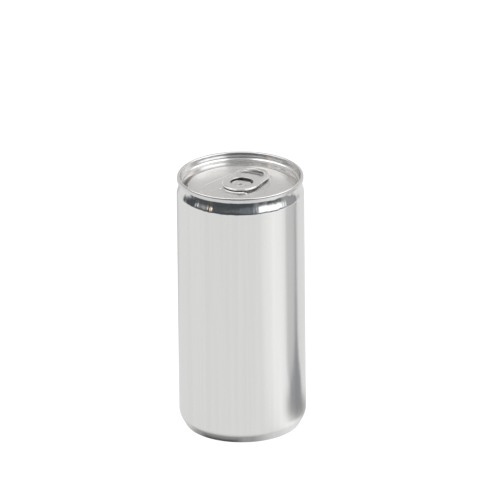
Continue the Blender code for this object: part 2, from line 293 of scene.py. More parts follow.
def parts_of(tree, place):
    """The X, Y and Z of a place."""
    node = tree.nodes.new('ShaderNodeSeparateXYZ')
    tree.links.new(place, node.inputs[0])
    return node.outputs["X"], node.outputs["Y"], node.outputs["Z"]


def stretched_noise(tree, place, scale, detail, stretch):
    """Noise laid out in metres, drawn long along the axes where the stretch is small."""
    mapping = tree.nodes.new('ShaderNodeMapping')
    mapping.inputs["Scale"].default_value = stretch
    tree.links.new(place, mapping.inputs["Vector"])
    grain = tree.nodes.new('ShaderNodeTexNoise')
    grain.inputs["Scale"].default_value = scale
    grain.inputs["Detail"].default_value = detail
    tree.links.new(mapping.outputs[0], grain.inputs["Vector"])
    return grain.outputs["Fac"]


def overlaid(tree, strong, weak):
    """One pattern with a weaker one laid over it."""
    return combined(tree, 'ADD', times(tree, strong, 0.6), times(tree, weak, 0.4))


def ranged(tree, value, low, high, to_low, to_high, kind='LINEAR'):
    """Carry a value from one range to another, held at the ends."""
    node = tree.nodes.new('ShaderNodeMapRange')
    node.interpolation_type = kind
    for name, number in (("From Min", low), ("From Max", high), ("To Min", to_low), ("To Max", to_high)):
        node.inputs[name].default_value = number
    tree.links.new(value, node.inputs["Value"])
    return node.outputs["Result"]


def eased(tree, value, low, high, to_low, to_high):
    """The same, with a soft start and end."""
    return ranged(tree, value, low, high, to_low, to_high, 'SMOOTHSTEP')


def tinted(tree, shader, value, colour, ends, tints):
    """Let the metal's colour go a little darker and lighter with a pattern."""
    ramp = tree.nodes.new('ShaderNodeValToRGB')
    for element, position, tint in zip(ramp.color_ramp.elements, ends, tints):
        element.position = position
        element.color = (*(part + tint for part in colour), 1.0)
    tree.links.new(value, ramp.inputs["Fac"])
    tree.links.new(ramp.outputs["Color"], shader.inputs["Base Color"])


def raised(tree, shader, height, depth):
    """Fine relief on the surface, its depth in millimetres."""
    bump = tree.nodes.new('ShaderNodeBump')
    bump.inputs["Distance"].default_value = depth * MM
    tree.links.new(height, bump.inputs["Height"])
    tree.links.new(bump.outputs[0], shader.inputs["Normal"])


def crimp_neck(piece):
    """The necking dies leave the cone's edges a little uneven round the can."""
    foot = NECK_FOOT - 0.6
    for vertex in piece.data.vertices:
        x, y, z = vertex.co / MM
        if not foot < z < NECK_TOP or math.hypot(x, y) < NECK_RADIUS - 0.02:
            continue
        inside = ease((z - foot) / 1.4) * ease((NECK_TOP - z) / 1.2)
        turn = math.atan2(y, x)
        ring = Vector((math.cos(turn), math.sin(turn), 0.0))
        # Long waves round the can, and short ones that change down the cone
        uneven = noise.noise(ring * 9.0) + noise.noise(ring * 34.0 + Vector((3.0, 5.0, z / 9.0)))
        vertex.co.z += NECK_UNEVEN * inside * uneven * MM


def ironed_aluminium():
    """Satin wall with upright iron marks, bright neck, plain drawn dome."""
    material, tree, shader, place = metal_base("ironed_aluminium", WALL_COLOUR, 0.3)
    shader.inputs["Anisotropic Rotation"].default_value = 0.25
    tangent = tree.nodes.new('ShaderNodeTangent')
    tangent.direction_type = 'RADIAL'
    tangent.axis = 'Z'
    tree.links.new(tangent.outputs[0], shader.inputs["Tangent"])
    # Upright marks: coarse streaks a millimetre or so wide, and fine ones between them
    coarse = stretched_noise(tree, place, 420.0, 3.0, (1.0, 1.0, 0.012))
    fine = stretched_noise(tree, place, 4200.0, 3.0, (1.0, 1.0, 0.006))
    marks = overlaid(tree, coarse, fine)
    # The dies polish the neck, with a ragged edge that follows the marks
    ragged = times(tree, combined(tree, 'SUBTRACT', fine, 0.5), POLISH_RAGGED * MM)
    edge = combined(tree, 'ADD', parts_of(tree, place)[2], ragged)
    low, high = POLISHED
    gloss = tree.nodes.new('ShaderNodeMix')
    gloss.data_type = 'FLOAT'
    tree.links.new(eased(tree, edge, low * MM, high * MM, 0.0, 1.0), gloss.inputs[0])
    tree.links.new(ranged(tree, marks, 0.3, 0.7, *WALL_GLOSS), gloss.inputs[2])
    tree.links.new(ranged(tree, fine, 0.3, 0.7, *NECK_GLOSS), gloss.inputs[3])
    tree.links.new(gloss.outputs[0], shader.inputs["Roughness"])
    tinted(tree, shader, marks, WALL_COLOUR, (0.32, 0.68), WALL_TINTS)
    raised(tree, shader, marks, MARK_DEPTH)
    return material


body = turned("drawn_body", body_line(), 360, ironed_aluminium())
crimp_neck(body)
face_outward(body)
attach(body, "root")
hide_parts("can_body")


# ---------------------------------------------------------------------------------------------
# The end.  A stamped lid of rolled aluminium sheet: flat panel with a sunk teardrop, a score for
# the mouth, the rivet drawn up from the panel, a deep countersink groove, the chuck wall with its
# kink, and the double seam that holds it on the body.
# ---------------------------------------------------------------------------------------------
SEAM_RADIUS = 26.28
SEAM_HEIGHT = 2.15
SEAM_FOOT = 0.40             # rounding at the foot of the seam
RIM_RADIUS = 25.05           # inside of the seam's crown
CROWN = 0.58                 # radius of the crown's bend
CROWN_TURN = (math.radians(162.0), math.radians(13.0))
CHUCK_WALL = ((23.50, 5.30), (23.54, 4.98), (23.60, 4.80), (23.92, 4.00), (23.97, 3.86),
              (24.00, 3.70), (24.02, 3.20), (24.05, 3.03), (24.16, 2.84), (24.40, 2.56),
              (24.48, 2.42), (24.50, 2.30), (24.62, 1.86), (24.66, 1.76), (24.80, 1.40),
              (24.84, 1.30))     # radius and depth up the wall, with its kink
LEDGE_RADIUS = 24.15         # where the chuck wall bends
SINK_WALL = 23.45            # outer wall of the countersink groove
SINK_DEPTH = 6.7
SINK_RADIUS = 0.6
SHEET = 0.3                  # sheet under the groove and the chuck wall
PANEL_RADIUS = 21.6
PANEL_EDGE = 0.45
PANEL_DEPTH = 4.8
PANEL_THICKNESS = 0.7
RECESS_DEPTH = 0.28
RECESS_SLOPE = 0.6
RECESS_WIDE = (-6.3, 13.6)   # place along the tab's axis and radius of each end
RECESS_NARROW = (7.0, 10.3)
BEAD_RADIUS = 7.75           # from the middle of the tab's nose
BEAD_RISE = 0.44
BEAD_HALF_WIDTH = 0.52
BEAD_SPREAD = math.radians(38.0)
STOP_REACH = 8.75            # the two stop dots, from the middle of the tab's nose
STOP_SPREAD = math.radians(42.0)
STOP_RADIUS = 0.85
STOP_RISE = 0.5
NOSE_MIDDLE = 0.3            # middle of the tab's round nose, along the tab's axis
TAB_TURN = math.radians(28.0)    # the tab's axis, clockwise from straight back
RIVET_HEAD = 2.2
RIVET_EDGE = 0.15
RIVET_SHANK = 1.5
RIVET_TOP = 4.0              # depth of the rivet's head
DIMPLE = ((0.0, -0.62), (0.4, -0.60), (0.68, -0.5), (0.84, -0.15), (0.96, -0.03), (1.15, 0.0))
BOSS_RADIUS = 2.4            # raised round under the rivet's shank
BOSS_SLOPE = 1.2
BOSS_RISE = 0.3
MOUTH = (-10.2, 8.6, 7.0)    # middle along the axis, half width and half length of the score
SCORE_WIDTH = 0.022          # as a share of the mouth
SCORE_DEPTH = 0.08
SCORED = (4.65, 5.5)         # depths between which the panel's top lies
SHEET_COLOUR = (0.820, 0.812, 0.803)
SHEET_TINTS = (-0.015, 0.015)
END_GRAIN = 0.35             # turn of the rolling grain, radians
END_GLOSS = (0.26, 0.34)     # roughness of the satin panel
BURNISHED = (21.4, 22.4, 0.76)   # from where to where the tooling's gloss sets in, and how much
# Painted shade: the end's sheet is darkened where the tab shades the panel, in the rivet's dimple and at
# one side of the groove
SHADE_UNDER_TAB = (-0.1, 10.5, 7.0)    # from and to along the tab's axis, and how far out from it
SHADE_UNDER_CURL = 5.6               # how far out the painted shade under the tab's curl begins
SHADE_UNDER_WEB = 10.2               # how far along the axis the painted shade under the web reaches
SHADE_DEPTH = 4.55             # depth under which the sheet gets painted shade
DIMPLE_SHADE = (0.74, 0.92)    # radii between which the painted shade in the rivet's dimple ends
GROOVE_SHADE = (-22.0, -17.8, 0.62)    # from where to where across it ends, and how thick it is
# tone that the end's painted shade darkens to
END_SHADE_TONE = (0.20, 0.20, 0.21, 1.0)


def end_line():
    """Half outline of the end: rivet, panel, countersink, chuck wall, seam and underside."""
    top = CAN_HEIGHT
    panel = top - PANEL_DEPTH
    sink = top - SINK_DEPTH
    head = top - RIVET_TOP
    points = [(radius, head + rise) for radius, rise in DIMPLE]
    straight(points, (RIVET_HEAD - RIVET_EDGE, head), 6)
    points += arc(RIVET_HEAD - RIVET_EDGE, head - RIVET_EDGE, RIVET_EDGE, math.pi / 2, -math.pi / 2, 8)[1:]
    points += [(RIVET_SHANK + 0.1, head - 2 * RIVET_EDGE), (RIVET_SHANK, head - 0.4),
               (RIVET_SHANK, panel + 0.1), (RIVET_SHANK + 0.04, panel + 0.02),
               (RIVET_SHANK + 0.15, panel)]
    straight(points, (PANEL_RADIUS - 0.05, panel), 110)
    points += arc(PANEL_RADIUS, panel - PANEL_EDGE, PANEL_EDGE, math.pi / 2, 0.0, 8)
    middle = SINK_WALL - SINK_RADIUS
    groove = arc(middle, sink + SINK_RADIUS, SINK_RADIUS, -math.pi, 0.0, 14)
    # The inner side of the groove stands almost upright
    straight(points, groove[0], 4)
    points += groove[1:]
    for radius, depth in CHUCK_WALL:
        straight(points, (radius, top - depth), 2)
    crown_arc = arc(RIM_RADIUS + CROWN, top - CROWN, CROWN, *CROWN_TURN, 22)
    straight(points, crown_arc[0], 3)
    points += crown_arc[1:]
    straight(points, (SEAM_RADIUS - 0.01, top - 0.78), 3)
    points.append((SEAM_RADIUS, top - 0.86))
    foot_z = top - SEAM_HEIGHT + SEAM_FOOT
    straight(points, (SEAM_RADIUS, foot_z), 6)
    points += arc(SEAM_RADIUS - SEAM_FOOT, foot_z, SEAM_FOOT, 0.0, -math.pi / 2, 8)[1:]
    # The underside, out of sight between the end and the seat
    under = panel - PANEL_THICKNESS
    points += [(NECK_RADIUS - 0.2, top - SEAM_HEIGHT), (LEDGE_RADIUS + SHEET, top - 2.95),
               (SINK_WALL + SHEET, sink + SINK_RADIUS), (middle + 0.42, sink - SHEET),
               (middle - 0.42, sink - SHEET), (PANEL_RADIUS - SHEET, under), (0.0, under)]
    return points


def along_tab(x, y):
    """A level place, as (across, along) the tab's own axis."""
    return (x * math.cos(TAB_TURN) - y * math.sin(TAB_TURN),
            x * math.sin(TAB_TURN) + y * math.cos(TAB_TURN))


def teardrop_distance(across, along):
    """Distance outside the sunk teardrop's edge; negative inside."""
    low, wide = RECESS_WIDE
    high, narrow = RECESS_NARROW
    length = high - low
    lean = (wide - narrow) / length
    upright = math.sqrt(1.0 - lean * lean)
    side, forward = abs(across), along - low
    reach = -lean * side + upright * forward
    if reach < 0.0:
        return math.hypot(side, forward) - wide
    if reach > upright * length:
        return math.hypot(side, forward - length) - narrow
    return side * upright + forward * lean - wide


def hump(distance, half_width):
    """Round-topped profile, 1 in the middle and 0 beyond its half width."""
    if distance >= half_width:
        return 0.0
    return 0.5 + 0.5 * math.cos(math.pi * distance / half_width)


def panel_relief(x, y):
    """Height of the panel's pressed forms above its flat face."""
    across, along = along_tab(x, y)
    rise = -RECESS_DEPTH * ease(-teardrop_distance(across, along) / RECESS_SLOPE)
    from_nose = math.hypot(across, along - NOSE_MIDDLE)
    angle = math.atan2(across, NOSE_MIDDLE - along)
    beyond = max(0.0, abs(angle) - BEAD_SPREAD)
    off_line = math.hypot(from_nose - BEAD_RADIUS, beyond * BEAD_RADIUS)
    rise += BEAD_RISE * hump(off_line, BEAD_HALF_WIDTH)
    for side in (-1, 1):
        stop_x = side * STOP_REACH * math.sin(STOP_SPREAD)
        stop_y = NOSE_MIDDLE - STOP_REACH * math.cos(STOP_SPREAD)
        rise += STOP_RISE * hump(math.hypot(across - stop_x, along - stop_y), STOP_RADIUS)
    rise += BOSS_RISE * (1.0 - ease((math.hypot(x, y) - BOSS_RADIUS) / BOSS_SLOPE))
    return rise


def press_relief(piece):
    """Push the panel's forms into the turned end."""
    panel = CAN_HEIGHT - PANEL_DEPTH
    for vertex in piece.data.vertices:
        x, y, z = vertex.co / MM
        on_panel = RIVET_SHANK - 0.01 < math.hypot(x, y) < PANEL_RADIUS - 0.02
        if on_panel and abs(z - panel) < 0.15:
            vertex.co.z += panel_relief(x, y) * MM


def spun(tree, place, turn):
    """The same place, turned about the can's axis."""
    node = tree.nodes.new('ShaderNodeMapping')
    node.inputs["Rotation"].default_value = (0.0, 0.0, turn)
    tree.links.new(place, node.inputs["Vector"])
    return node.outputs[0]


def squares(tree, across, along):
    """The sum of two squares."""
    return combined(tree, 'ADD', times(tree, across, across), times(tree, along, along))


def level_length(tree, across, along):
    """Length of a level step."""
    return combined(tree, 'SQRT', squares(tree, across, along), 0.0)


def paint_shade(tree, shader, mask, tone):
    """Paint shade: darken the metal where the mask is 1."""
    mix = tree.nodes.new('ShaderNodeMix')
    mix.data_type = 'RGBA'
    mix.blend_type = 'MULTIPLY'
    mix.inputs[7].default_value = tone
    tree.links.new(mask, mix.inputs[0])
    tree.links.new(shader.inputs["Base Color"].links[0].from_socket, mix.inputs[6])
    tree.links.new(mix.outputs[2], shader.inputs["Base Color"])


def sheet_aluminium(name, turn, gloss):
    """Rolled sheet: straight rolling grain one way, a faint orange peel, satin gloss."""
    material, tree, shader, place = metal_base(name, SHEET_COLOUR, 0.0)
    grain = stretched_noise(tree, spun(tree, place, turn), 5200.0, 3.0, (1.0, 0.02, 1.0))
    cloud = stretched_noise(tree, place, 700.0, 2.0, (1.0, 1.0, 1.0))
    both = overlaid(tree, grain, cloud)
    tree.links.new(ranged(tree, both, 0.3, 0.7, *gloss), shader.inputs["Roughness"])
    tinted(tree, shader, both, SHEET_COLOUR, (0.3, 0.7), SHEET_TINTS)
    return material, tree, shader, place, both


def mouth_score(tree, across, along, level):
    """1 in the hair-thin oval score of the mouth, only on the panel's top."""
    middle, half_width, half_length = (size * MM for size in MOUTH)
    side = combined(tree, 'DIVIDE', across, half_width)
    forward = combined(tree, 'DIVIDE', combined(tree, 'SUBTRACT', along, middle), half_length)
    ring = level_length(tree, side, forward)
    off = combined(tree, 'ABSOLUTE', combined(tree, 'SUBTRACT', ring, 1.0), 0.0)
    cut = eased(tree, off, 0.0, SCORE_WIDTH, 1.0, 0.0)
    top, bottom = SCORED
    under = combined(tree, 'LESS_THAN', level, (CAN_HEIGHT - top) * MM)
    over = combined(tree, 'GREATER_THAN', level, (CAN_HEIGHT - bottom) * MM)
    return times(tree, cut, times(tree, under, over))


def shade_under_tab(tree, across, along, level):
    """1 on the panel where shade is painted under the tab's curl and the front of its web."""
    low, high, reach = (size * MM for size in SHADE_UNDER_TAB)
    nearest = tree.nodes.new('ShaderNodeClamp')
    nearest.inputs["Min"].default_value = low
    nearest.inputs["Max"].default_value = high
    tree.links.new(along, nearest.inputs["Value"])
    away = level_length(tree, combined(tree, 'SUBTRACT', along, nearest.outputs[0]), across)
    under_tab = eased(tree, away, reach - 0.6 * MM, reach, 1.0, 0.0)
    under_curl = eased(tree, away, (SHADE_UNDER_CURL - 0.3) * MM, (SHADE_UNDER_CURL + 0.3) * MM, 0.0, 1.0)
    under_web = eased(tree, along, (SHADE_UNDER_WEB - 0.5) * MM, (SHADE_UNDER_WEB + 0.5) * MM, 1.0, 0.0)
    # One side behind the rivet is left without painted shade
    unshaded_side = times(tree, eased(tree, across, 0.4 * MM, 1.8 * MM, 0.0, 1.0),
                  combined(tree, 'GREATER_THAN', along, 1.0 * MM))
    under_web = times(tree, under_web, combined(tree, 'SUBTRACT', 1.0, unshaded_side))
    shade_mask = times(tree, under_tab, combined(tree, 'MAXIMUM', under_curl, under_web))
    return times(tree, shade_mask, combined(tree, 'LESS_THAN', level, (CAN_HEIGHT - SHADE_DEPTH) * MM))


def shade_in_groove(tree, side, outward, level):
    """How much painted shade the groove beside the panel gets: only at one side of the can."""
    left, right, thick = GROOVE_SHADE
    deep = combined(tree, 'LESS_THAN', level, (CAN_HEIGHT - PANEL_DEPTH - 0.35) * MM)
    groove = times(tree, deep,
                   combined(tree, 'GREATER_THAN', outward, (PANEL_RADIUS + 0.2) * MM))
    return times(tree, groove, eased(tree, side, left * MM, right * MM, thick, 0.0))


def end_aluminium():
    """The end's sheet: satin panel with its score, burnished wall and seam, and painted shade under the
    tab, in the rivet's dimple and in the groove.
    """
    material, tree, shader, place, grain = sheet_aluminium("end_aluminium", END_GRAIN, END_GLOSS)
    across, along, level = parts_of(tree, spun(tree, place, TAB_TURN))
    outward = level_length(tree, across, along)
    score = mouth_score(tree, across, along, level)
    relief = combined(tree, 'SUBTRACT', times(tree, grain, 0.03), score)
    raised(tree, shader, relief, SCORE_DEPTH)
    # The tooling burnishes the chuck wall and the seam; the flat panel keeps its satin
    inner, outer, gloss = BURNISHED
    satin = shader.inputs["Roughness"].links[0].from_socket
    burnish = eased(tree, outward, inner * MM, outer * MM, 1.0, gloss)
    tree.links.new(times(tree, satin, burnish), shader.inputs["Roughness"])
    # Painted shade darkens the sheet under the tab, in the rivet's dimple and at one side of the groove
    full, none = DIMPLE_SHADE
    shade_mask = combined(tree, 'MAXIMUM', shade_under_tab(tree, across, along, level),
                    ranged(tree, outward, full * MM, none * MM, 1.0, 0.0))
    side = parts_of(tree, place)[0]
    shade_mask = combined(tree, 'MAXIMUM', shade_mask, shade_in_groove(tree, side, outward, level))
    paint_shade(tree, shader, shade_mask, END_SHADE_TONE)
    return material


end = turned("can_end_sheet", end_line(), 320, end_aluminium())
press_relief(end)
face_outward(end)
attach(end, "root")
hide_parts("can_end")


# ---------------------------------------------------------------------------------------------
# The pull tab.  Stamped from thin aluminium strip: its edge is curled right round into a tube,
# the finger hole and the slot behind the rivet have rolled lips, and a tongue slopes down from
# the nose to the round island that the rivet head clamps.
# ---------------------------------------------------------------------------------------------
TAB_HALF_WIDTH = 7.8
HEEL_MIDDLE = 9.6            # middle of the round lift end, along the tab's axis
TAB_TOP = 3.3                # depth of the curl's crest below the seam's top
CURL_WIDTH = 1.2
CURL_HEIGHT = 1.15
WEB_DEPTH = 3.52
WEB_THICKNESS = 0.32
LIP_RADIUS = 0.30
ISLAND_MIDDLE = 0.6
ISLAND_RADIUS = 4.4
ISLAND_DEPTH = 4.3
SLOT_MIDDLE = 1.3
SLOT_RADIUS = 5.0
SLOT_FRONT = -2.4
TONGUE_HALF_WIDTH = 2.65
TONGUE_ROOT = -3.6           # where the tongue leaves the web
TONGUE_SLOPE = ((-4.2, WEB_DEPTH), (-3.7, WEB_DEPTH), (-3.3, WEB_DEPTH + 0.08), (-2.7, 4.0),
                (-2.3, ISLAND_DEPTH - 0.06), (-1.9, ISLAND_DEPTH), (-1.2, ISLAND_DEPTH))
HOLE_MIDDLE = 10.4
HOLE_HALF_WIDTH = 5.25
HOLE_NOTCH = ((5.15, 10.0), (4.75, 9.7), (4.05, 9.6), (3.6, 9.7), (3.2, 10.0), (2.8, 10.3),
              (2.4, 10.4))       # right half of the hole's front edge
LIP_DEPTH = WEB_DEPTH + 0.21
ISLAND_CUT = math.radians(-40.0)     # where the island's round is cut off in front
SKIN_GRID = 0.1
SKIN_ROUNDS = 4
TAB_GRAIN = 1.08
TAB_GLOSS = (0.15, 0.22)
GRAIN_DEPTH = 0.004
CURL_SHADE = (3.80, 3.60)      # depths between which the painted shade inside the hole's lip ends
CURL_SHADE_REACH = 6.7         # from the finger hole's middle
# tone that the tab's painted shade darkens to
TAB_SHADE_TONE = (0.24, 0.24, 0.25, 1.0)


def sweeping_tree():
    """Geometry nodes that carry an oval section along a level path as a rolled edge."""
    tree = bpy.data.node_groups.new("roll_edge", 'GeometryNodeTree')
    ports = tree.interface
    ports.new_socket("Path", in_out='INPUT', socket_type='NodeSocketGeometry')
    wide = ports.new_socket("Roll width", in_out='INPUT', socket_type='NodeSocketFloat')
    high = ports.new_socket("Roll height", in_out='INPUT', socket_type='NodeSocketFloat')
    metal = ports.new_socket("Metal", in_out='INPUT', socket_type='NodeSocketMaterial')
    ports.new_socket("Rolled edge", in_out='OUTPUT', socket_type='NodeSocketGeometry')
    add, join = tree.nodes.new, tree.links.new
    given = add('NodeGroupInput')
    level = add('GeometryNodeSetCurveNormal')
    level.mode = 'Z_UP'
    join(given.outputs["Path"], level.inputs["Curve"])
    ring = add('GeometryNodeCurvePrimitiveCircle')
    ring.inputs["Resolution"].default_value = 20
    ring.inputs["Radius"].default_value = 0.5
    oval = add('ShaderNodeCombineXYZ')
    join(given.outputs["Roll width"], oval.inputs["X"])
    join(given.outputs["Roll height"], oval.inputs["Y"])
    oval.inputs["Z"].default_value = 1.0
    shape = add('GeometryNodeTransform')
    join(ring.outputs["Curve"], shape.inputs["Geometry"])
    join(oval.outputs[0], shape.inputs["Scale"])
    sweep = add('GeometryNodeCurveToMesh')
    join(level.outputs[0], sweep.inputs["Curve"])
    join(shape.outputs[0], sweep.inputs["Profile Curve"])
    sweep.inputs["Fill Caps"].default_value = True
    hand_out(tree, given, sweep.outputs[0], "Rolled edge")
    return tree, wide.identifier, high.identifier, metal.identifier


def rolled_edge(name, path, depth, width, height, closed, metal):
    """One rolled edge along a level path of (across, along) places."""
    line = bpy.data.curves.new(name, 'CURVE')
    line.dimensions = '3D'
    spline = line.splines.new('POLY')
    spline.points.add(len(path) - 1)
    for point, (x, y) in zip(spline.points, path):
        point.co = (x * MM, y * MM, (CAN_HEIGHT - depth) * MM, 1.0)
    spline.use_cyclic_u = closed
    maker = placed(name, line)
    tree, wide_id, high_id, metal_id = sweeping_tree()
    roll = maker.modifiers.new("Roll", 'NODES')
    roll.node_group = tree
    roll[wide_id] = width * MM
    roll[high_id] = height * MM
    roll[metal_id] = metal
    return frozen(maker, name, metal)


def stadium(radius, count=36):
    """Outline round the nose and the lift end, at a distance from the tab's middle line."""
    points = arc(0.0, HEEL_MIDDLE, radius, 0.0, math.pi, count)
    straight(points, (-radius, NOSE_MIDDLE), 8)
    points += arc(0.0, NOSE_MIDDLE, radius, math.pi, 2 * math.pi, count)[1:]
    straight(points, (radius, HEEL_MIDDLE), 8)
    return points[:-1]


def finger_hole():
    """Outline of the finger hole: round behind, straight in front, a notch at each side."""
    points = arc(0.0, HOLE_MIDDLE, HOLE_HALF_WIDTH, 0.0, math.pi, 30)
    points += [(-x, y) for x, y in HOLE_NOTCH]
    points += list(reversed(HOLE_NOTCH))
    return points


def slot_arc():
    """The round back of the slot behind the rivet, from its right end to its left end."""
    front = math.asin((SLOT_FRONT - SLOT_MIDDLE) / SLOT_RADIUS)
    return arc(0.0, SLOT_MIDDLE, SLOT_RADIUS, front, math.pi - front, 36)


def pressed_plate(name, outlines, top_depth, thickness):
    """A flat plate from its outline and the outlines of its holes."""
    flat = bpy.data.curves.new(name, 'CURVE')
    flat.dimensions = '2D'
    flat.fill_mode = 'BOTH'
    flat.extrude = thickness / 2 * MM
    for outline in outlines:
        spline = flat.splines.new('POLY')
        spline.points.add(len(outline) - 1)
        for point, (x, y) in zip(spline.points, outline):
            point.co = (x * MM, y * MM, 0.0, 1.0)
        spline.use_cyclic_u = True
    maker = placed(name, flat)
    maker.location.z = (CAN_HEIGHT - top_depth - thickness / 2) * MM
    return maker


def tongue_strip(name):
    """The sloping tongue from the nose down to the island, as a closed strip."""
    points, faces = [], []
    for along, depth in TONGUE_SLOPE:
        for side, drop in ((-1, 0.0), (1, 0.0), (1, WEB_THICKNESS), (-1, WEB_THICKNESS)):
            points.append((side * TONGUE_HALF_WIDTH * MM, along * MM, (CAN_HEIGHT - depth - drop) * MM))
    for row in range(len(TONGUE_SLOPE) - 1):
        for corner in range(4):
            a, b = 4 * row + corner, 4 * row + (corner + 1) % 4
            faces.append((a, b, b + 4, a + 4))
    last = 4 * (len(TONGUE_SLOPE) - 1)
    faces += [(3, 2, 1, 0), (last, last + 1, last + 2, last + 3)]
    mesh = bpy.data.meshes.new(name)
    mesh.from_pydata(points, [], faces)
    return placed(name, mesh)


def fused(name, parts, metal):
    """Join stamped shapes into one skin with soft bends, and turn it to the tab's axis."""
    graph = bpy.context.evaluated_depsgraph_get()
    points, faces = [], []
    for part in parts:
        mesh = bpy.data.meshes.new_from_object(part.evaluated_get(graph))
        first = len(points)
        points += [part.matrix_world @ vertex.co for vertex in mesh.vertices]
        faces += [[first + index for index in face.vertices] for face in mesh.polygons]
    for part in parts:
        bpy.data.objects.remove(part, do_unlink=True)
    mesh = bpy.data.meshes.new(name)
    mesh.from_pydata(points, [], faces)
    maker = placed(name + "_maker", mesh)
    skin = maker.modifiers.new("Skin", 'REMESH')
    skin.mode = 'VOXEL'
    skin.voxel_size = SKIN_GRID * MM
    skin.use_smooth_shade = True
    soften = maker.modifiers.new("Soften", 'SMOOTH')
    soften.factor = 0.5
    soften.iterations = SKIN_ROUNDS
    piece = frozen(maker, name, metal)
    piece.data.transform(Matrix.Rotation(-TAB_TURN, 4, 'Z'))
    return piece


def tab_aluminium():
    """Tab strip: a little brighter than the end, grain along the tab."""
    material, tree, shader, place, grain = sheet_aluminium("tab_aluminium", TAB_GRAIN, TAB_GLOSS)
    raised(tree, shader, grain, GRAIN_DEPTH)
    # Low inside the rolled edges round the finger hole the strip gets painted shade
    x, y, z = parts_of(tree, place)
    across = combined(tree, 'SUBTRACT', x, HOLE_MIDDLE * math.sin(TAB_TURN) * MM)
    along = combined(tree, 'SUBTRACT', y, HOLE_MIDDLE * math.cos(TAB_TURN) * MM)
    # The painted shade reaches a little higher at the left and thins out towards the right
    level = combined(tree, 'SUBTRACT', z, ranged(tree, across, -4.6 * MM, -2.6 * MM, 0.10 * MM, 0.0))
    full, none = CURL_SHADE
    shade_mask = ranged(tree, level, (CAN_HEIGHT - full) * MM, (CAN_HEIGHT - none) * MM, 1.0, 0.0)
    shade_mask = times(tree, shade_mask, ranged(tree, across, 1.6 * MM, 4.0 * MM, 1.0, 0.45))
    near = combined(tree, 'LESS_THAN', level_length(tree, across, along), CURL_SHADE_REACH * MM)
    paint_shade(tree, shader, times(tree, shade_mask, near), TAB_SHADE_TONE)
    return material


def make_tab():
    """Curl, lips, web, tongue and island, fused into one stamped piece."""
    metal = tab_aluminium()
    rim = stadium(TAB_HALF_WIDTH - CURL_WIDTH / 2)
    slot = slot_arc()
    web_hole = slot + [(-TONGUE_HALF_WIDTH, SLOT_FRONT), (-TONGUE_HALF_WIDTH, TONGUE_ROOT),
                       (TONGUE_HALF_WIDTH, TONGUE_ROOT), (TONGUE_HALF_WIDTH, SLOT_FRONT)]
    island = arc(0.0, ISLAND_MIDDLE, ISLAND_RADIUS, ISLAND_CUT, math.pi - ISLAND_CUT, 48)
    eye = arc(0.0, 0.0, RIVET_SHANK + 0.1, 0.0, 2 * math.pi * 23 / 24, 23)
    lip = 2 * LIP_RADIUS
    parts = [
        rolled_edge("tab_curl", rim, TAB_TOP + CURL_HEIGHT / 2, CURL_WIDTH, CURL_HEIGHT, True, metal),
        rolled_edge("hole_lip", finger_hole(), LIP_DEPTH, lip, lip, True, metal),
        rolled_edge("slot_lip", slot, LIP_DEPTH, lip, lip, False, metal),
        pressed_plate("tab_web", [rim, finger_hole(), web_hole], WEB_DEPTH, WEB_THICKNESS),
        pressed_plate("tab_island", [island, eye], ISLAND_DEPTH, WEB_THICKNESS),
        tongue_strip("tab_tongue"),
    ]
    return fused("pull_tab_strip", parts, metal)


tab = make_tab()
face_outward(tab)
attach(tab, "root")
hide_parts("pull_tab")


# ---------------------------------------------------------------------------------------------
# The studio.  A white floor, a light room with a darker zone beyond the camera, a soft box at
# the right, two grey stands beside the can, and the camera well back with a long lens.
# ---------------------------------------------------------------------------------------------
FLOOR_SIZE = 8.0             # this and the lengths down to STAND_SHADE are metres
FLOOR_GLOW = 0.655
FLOOR_ENDS = (1.1, 2.4, 0.12)    # from where to where the sheet falls into the dark, and how far
BOX_GLOW = (0.19, 44.0, 78.0, 18.0)      # amount, then two bearings and their softness, degrees
LEFT_DIM = (0.18, -168.0, -148.0, 9.0)
BEHIND_DIM = (0.30, 100.0, 155.0, 15.0)
BEHIND_ENDS = (0.034, 0.055)
FOOT_ENDS = (0.0238, 0.0288)     # radii between which the dark under the foot ends
FOOT_LIGHT = 0.85
FOOT_DIMS = ((0.45, -62.0, 20.0, 12.0), (0.34, -44.0, -4.0, 7.0))
STAND_FOOT = (0.053, -0.001)     # middle of the shade that the stands throw
STAND_SHADE = (0.009, 0.030, 0.27)       # from where to where it fades, and how dark it is
GREY_STAND = ((0.0, 0.0), (15.0, 0.0), (18.5, 3.0), (20.5, 9.0), (20.5, 90.0), (0.0, 90.0))
GREY_PLACE = (82.5, 0.5)
DARK_STAND = ((0.0, 0.0), (16.0, 0.0), (17.0, 3.0), (14.2, 8.0), (9.4, 14.0), (5.6, 26.0),
              (3.8, 50.0), (3.0, 90.0), (0.0, 90.0))
DARK_PLACE = (64.9, 6.0)
HORIZON = (0.66, 0.655, 0.65)    # colour of the room at eye level
CEILINGS = (                 # colour, and the heights in degrees between which it sets in
    ((0.44, 0.44, 0.445), 27.0, 38.0),
    ((0.68, 0.68, 0.68), 50.0, 70.0),
    ((1.5, 1.5, 1.5), 66.0, 78.0))
